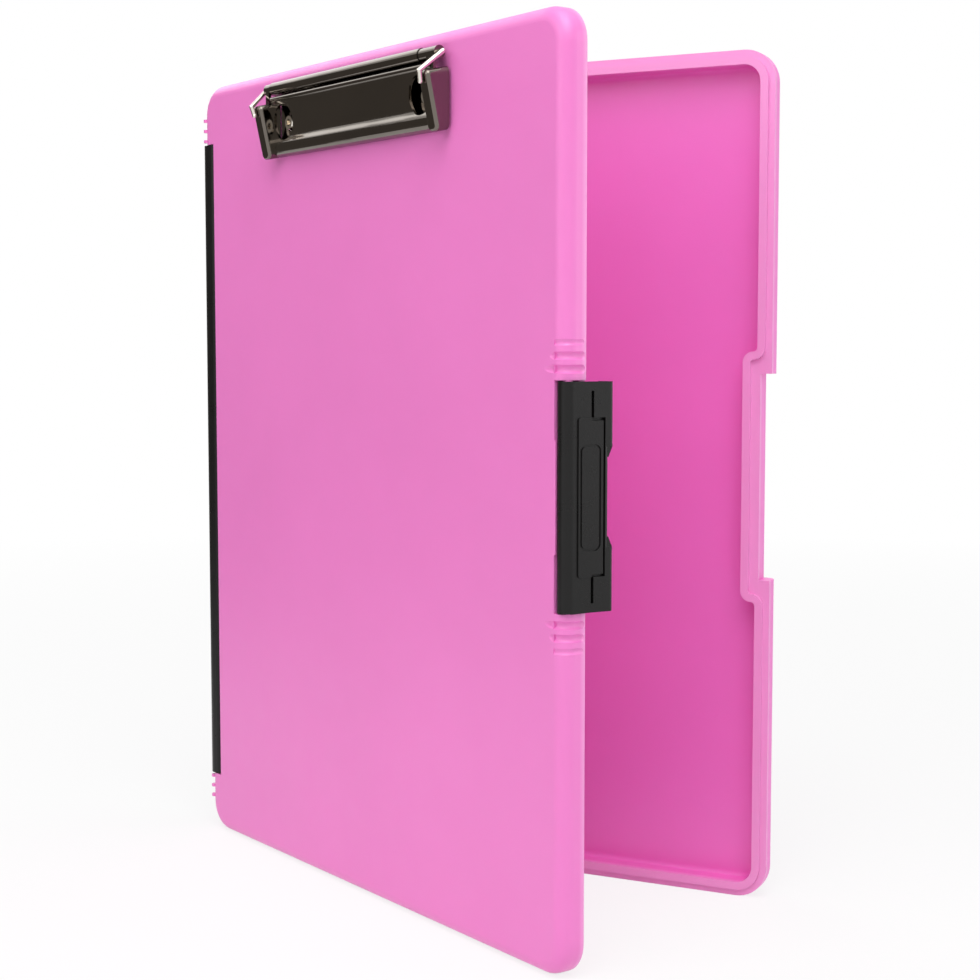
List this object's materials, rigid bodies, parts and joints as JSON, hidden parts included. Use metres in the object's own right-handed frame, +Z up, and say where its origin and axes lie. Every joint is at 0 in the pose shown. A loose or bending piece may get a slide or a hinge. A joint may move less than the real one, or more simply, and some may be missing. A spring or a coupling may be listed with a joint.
{
  "type": "storage clipboard",
  "caption": "Hinged plastic storage clipboard that opens like a book, with a snap hinge strip, a side latch and a low spring clip on its cover.",
  "frame": {"origin": "middle of the flat strip along the lower edge of the back tray, which the box stands on", "axes": "+Z up the standing box, +X along the back tray from the spine to the latch edge, +Y towards the tray's back"},
  "size_m": [0.2496, 0.1276, 0.3175],
  "materials": {
    "shell": "satin moulded polypropylene",
    "black_plastic": "fine satin",
    "nickel": "bright nickel plate on pressed steel"
  },
  "bodies": {
    "tray": {"back_tray": "shell"},
    "spine": {"spine_hinge": "black_plastic"},
    "cover": {"front_cover": "shell", "clip_base": "nickel", "clip_rivets": "nickel", "rivet_washers": "nickel"},
    "latch": {"latch": "black_plastic"},
    "jaw": {"clip_jaw": "nickel", "clip_spring": "nickel"}
  },
  "joints": [
    {"name": "spine_swing", "type": "hinge", "parent": "tray", "child": "spine", "pos_m": [-0.1182, 0.003, 0.15875], "axis": [0, 0, -1], "range_deg": [-13.5, 76.5]},
    {"name": "cover_swing", "type": "hinge", "parent": "spine", "child": "cover", "pos_m": [-0.12068, -0.00731, 0.15875], "axis": [0, 0, -1], "range_deg": [-13.5, 76.5]},
    {"name": "latch_swing", "type": "hinge", "parent": "cover", "child": "latch", "pos_m": [0.09196, -0.11666, 0.1602], "axis": [0, 0, -1], "range_deg": [-6, 95]},
    {"name": "jaw_lift", "type": "hinge", "parent": "cover", "child": "jaw", "pos_m": [-0.01863, -0.06738, 0.3094], "axis": [-0.891, 0.454, 0], "range_deg": [0, 60], "stiffness_Nm_per_rad": 0.06, "springref_deg": -20.05}
  ],
  "couplings": [
    {"joint": "spine_swing", "follows": "cover_swing", "ratio": 1}
  ]
}
